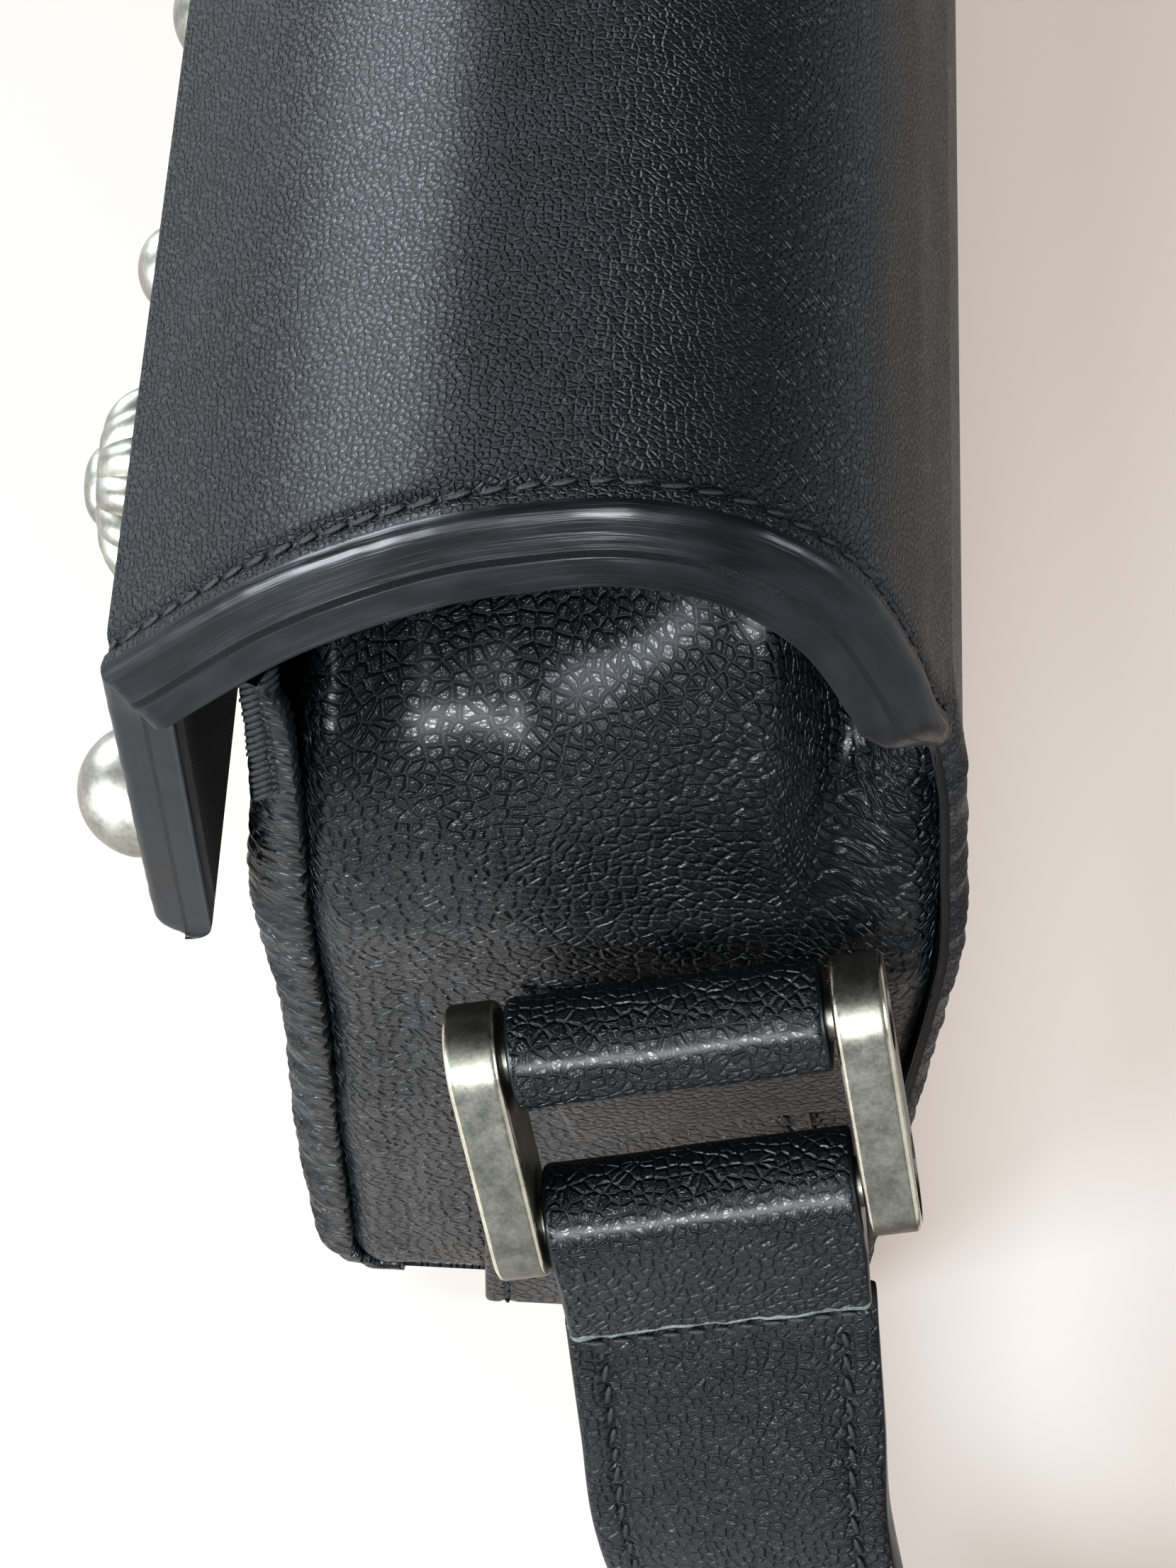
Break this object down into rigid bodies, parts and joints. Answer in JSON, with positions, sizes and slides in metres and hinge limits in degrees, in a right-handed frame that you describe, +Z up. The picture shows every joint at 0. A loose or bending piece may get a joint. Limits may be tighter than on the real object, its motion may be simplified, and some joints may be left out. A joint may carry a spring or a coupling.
{
  "type": "saddle bag",
  "caption": "Small leather saddle-style shoulder bag: soft gusseted body, moulded flap with domed metal ornaments, magnetic snap, and a flat strap on steel links.",
  "frame": {"origin": "centre of the bag's underside between its ends, on the resting face of the carrier band", "axes": "+X towards one end of the bag (its long direction), -Y towards the front with the ornaments, +Z up"},
  "size_m": [0.406, 0.167, 0.1778],
  "materials": {
    "body_leather": "semi-gloss black pebbled leather",
    "flap_leather": "semi-gloss blue-black fine-grained leather",
    "flap_lining": "smooth black leather with glossy painted edge",
    "strap_leather": "semi-gloss black pebbled leather",
    "board": "matt fibre board",
    "lining_cloth": "matt woven cotton",
    "antique_nickel": "antique nickel, worn bright at the edges",
    "satin_silver": "satin pale silver"
  },
  "bodies": {
    "bag": {"back_panel": "body_leather", "base_board": "board", "base_panel": "body_leather", "carrier_band": "body_leather", "front_facing": "body_leather", "front_panel": "body_leather", "gusset_left": "body_leather", "gusset_right": "body_leather", "lining": "lining_cloth", "shoulder_strap": "strap_leather", "snap_socket": "antique_nickel", "tab_loop_left": "body_leather", "tab_loop_right": "body_leather"},
    "flap": {"button_58_left": "satin_silver", "button_58_right": "satin_silver", "button_81_left": "satin_silver", "button_81_right": "satin_silver", "concho_99_left": "satin_silver", "concho_99_right": "satin_silver", "concho_centre": "satin_silver", "dome_123_left": "satin_silver", "dome_123_right": "satin_silver", "dome_38_left": "satin_silver", "dome_38_right": "satin_silver", "flap_leather": "flap_leather", "flap_lining": "flap_lining", "flap_stiffener": "board", "snap_stud": "antique_nickel"},
    "link_right": {"link_bar_back_right": "antique_nickel", "link_bar_front_right": "antique_nickel", "pin_lower_right": "antique_nickel", "pin_upper_right": "antique_nickel", "screw_lower_back_right": "antique_nickel", "screw_lower_front_right": "antique_nickel", "screw_upper_back_right": "antique_nickel", "screw_upper_front_right": "antique_nickel"},
    "link_left": {"link_bar_back_left": "antique_nickel", "link_bar_front_left": "antique_nickel", "pin_lower_left": "antique_nickel", "pin_upper_left": "antique_nickel", "screw_lower_back_left": "antique_nickel", "screw_lower_front_left": "antique_nickel", "screw_upper_back_left": "antique_nickel", "screw_upper_front_left": "antique_nickel"},
    "strap_end_right": {"strap_loop_right": "strap_leather"},
    "strap_end_left": {"strap_loop_left": "strap_leather"}
  },
  "joints": [
    {"name": "flap_open", "type": "hinge", "parent": "bag", "child": "flap", "pos_m": [0, 0.0272, 0.142], "axis": [-1, 0, 0], "range_deg": [0, 150]},
    {"name": "link_right_swing", "type": "hinge", "parent": "bag", "child": "link_right", "pos_m": [0.138, 0.006, 0.1036], "axis": [0.1099, -0.9755, -0.1904], "range_deg": [-12, 60], "deforming": ["shoulder_strap"]},
    {"name": "strap_right_swivel", "type": "hinge", "parent": "link_right", "child": "strap_end_right", "pos_m": [0.14746, 0.01027, 0.08721], "axis": [0.1099, -0.9755, -0.1904], "range_deg": [-15, 25], "deforming": ["shoulder_strap"]},
    {"name": "link_left_swing", "type": "hinge", "parent": "bag", "child": "link_left", "pos_m": [-0.138, 0.006, 0.1036], "axis": [0.1099, 0.9755, 0.1904], "range_deg": [-12, 60], "deforming": ["shoulder_strap"]},
    {"name": "strap_left_swivel", "type": "hinge", "parent": "link_left", "child": "strap_end_left", "pos_m": [-0.14746, 0.01027, 0.08721], "axis": [0.1099, 0.9755, 0.1904], "range_deg": [-15, 25], "deforming": ["shoulder_strap"]}
  ]
}
